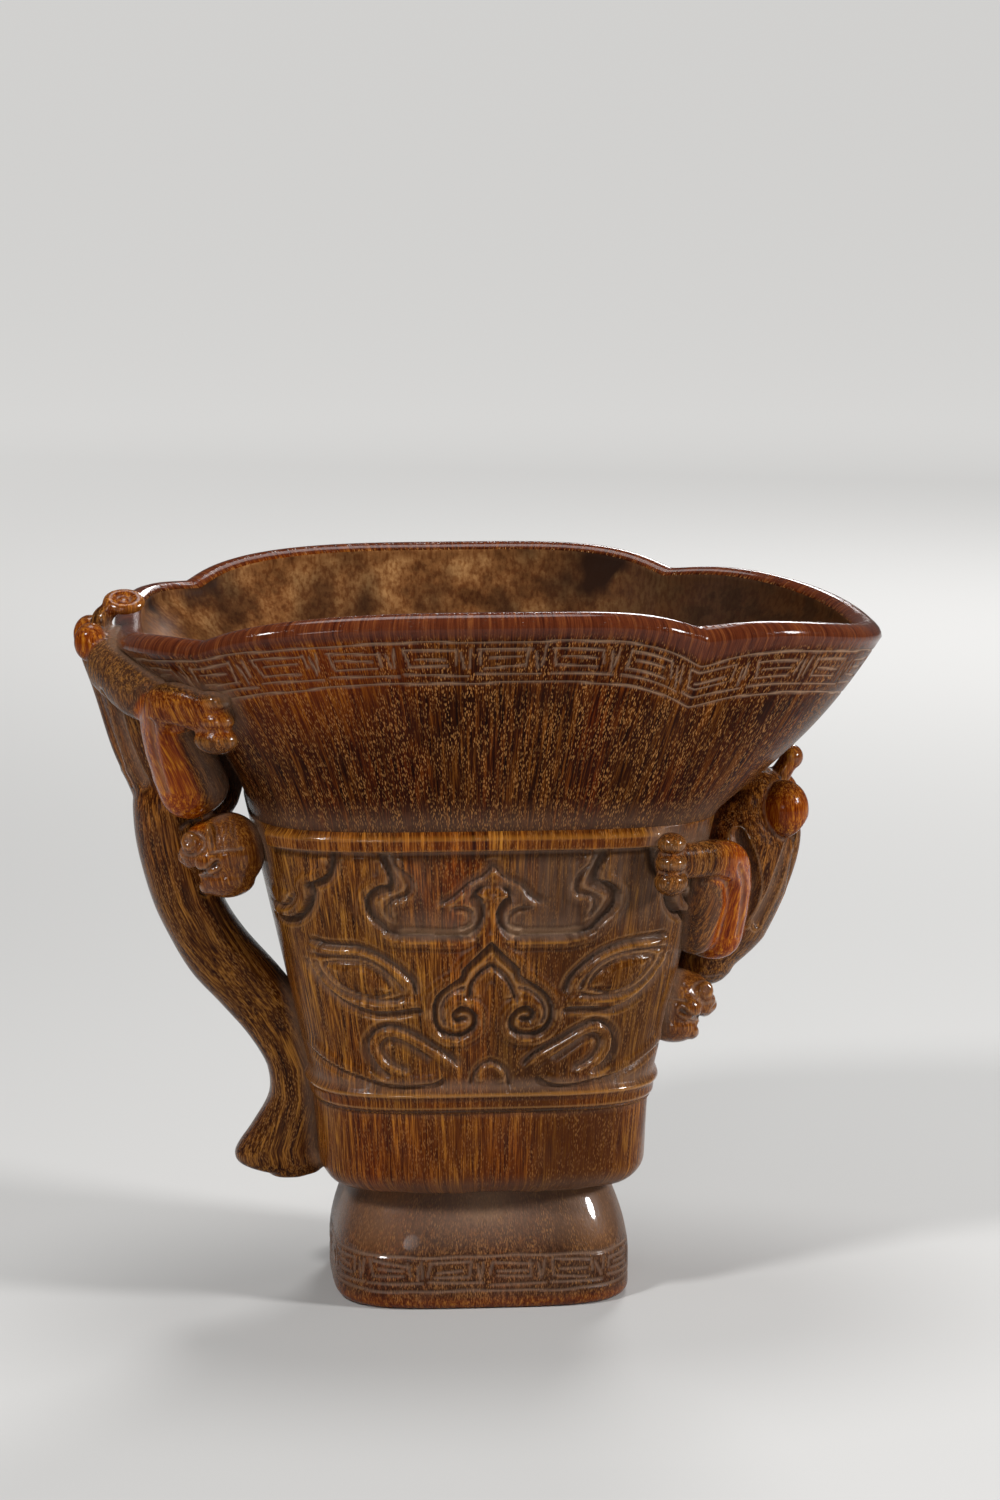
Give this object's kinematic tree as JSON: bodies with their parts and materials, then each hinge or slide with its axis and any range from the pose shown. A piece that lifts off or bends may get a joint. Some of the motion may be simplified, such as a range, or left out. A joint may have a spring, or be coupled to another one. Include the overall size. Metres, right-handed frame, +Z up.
{
  "type": "libation cup",
  "caption": "Carved horn libation cup with a flaring lobed mouth and spout, a mask frieze, dragons climbing both ends and a bracket handle",
  "frame": {"origin": "the middle of the foot, on the surface that the cup stands on", "axes": "+Z up the cup's axis, +X towards the spout with the handle along -X, -Y towards the front mask"},
  "size_m": [0.147, 0.104, 0.1315],
  "materials": {
    "horn": "polished horn with fine vertical fibres, red-brown, a little dust in the recesses",
    "dark_horn": "darker polished horn with a speckled grain",
    "amber_horn": "polished amber horn, slightly translucent"
  },
  "bodies": {
    "root": {"foot": "dark_horn", "vessel": "horn", "handle": "horn", "lower_fillet": "horn", "front_upper_fillet": "amber_horn", "back_upper_fillet": "amber_horn", "front_mask_nose": "horn", "front_mask_brow": "horn", "front_mask_right_horn": "horn", "front_mask_left_horn": "horn", "front_mask_right_eye": "horn", "front_mask_left_eye": "horn", "front_mask_right_jaw": "horn", "front_mask_left_jaw": "horn", "back_mask_nose": "horn", "back_mask_brow": "horn", "back_mask_right_horn": "horn", "back_mask_left_horn": "horn", "back_mask_right_eye": "horn", "back_mask_left_eye": "horn", "back_mask_right_jaw": "horn", "back_mask_left_jaw": "horn", "spout_dragon_body": "horn", "spout_dragon_tail": "amber_horn", "spout_dragon_front_arm": "amber_horn", "spout_dragon_back_arm": "amber_horn", "spout_dragon_head": "horn", "handle_dragon_body": "horn", "handle_dragon_tail": "amber_horn", "handle_dragon_front_arm": "amber_horn", "handle_dragon_back_arm": "amber_horn", "handle_dragon_head": "horn"}
  },
  "joints": []
}
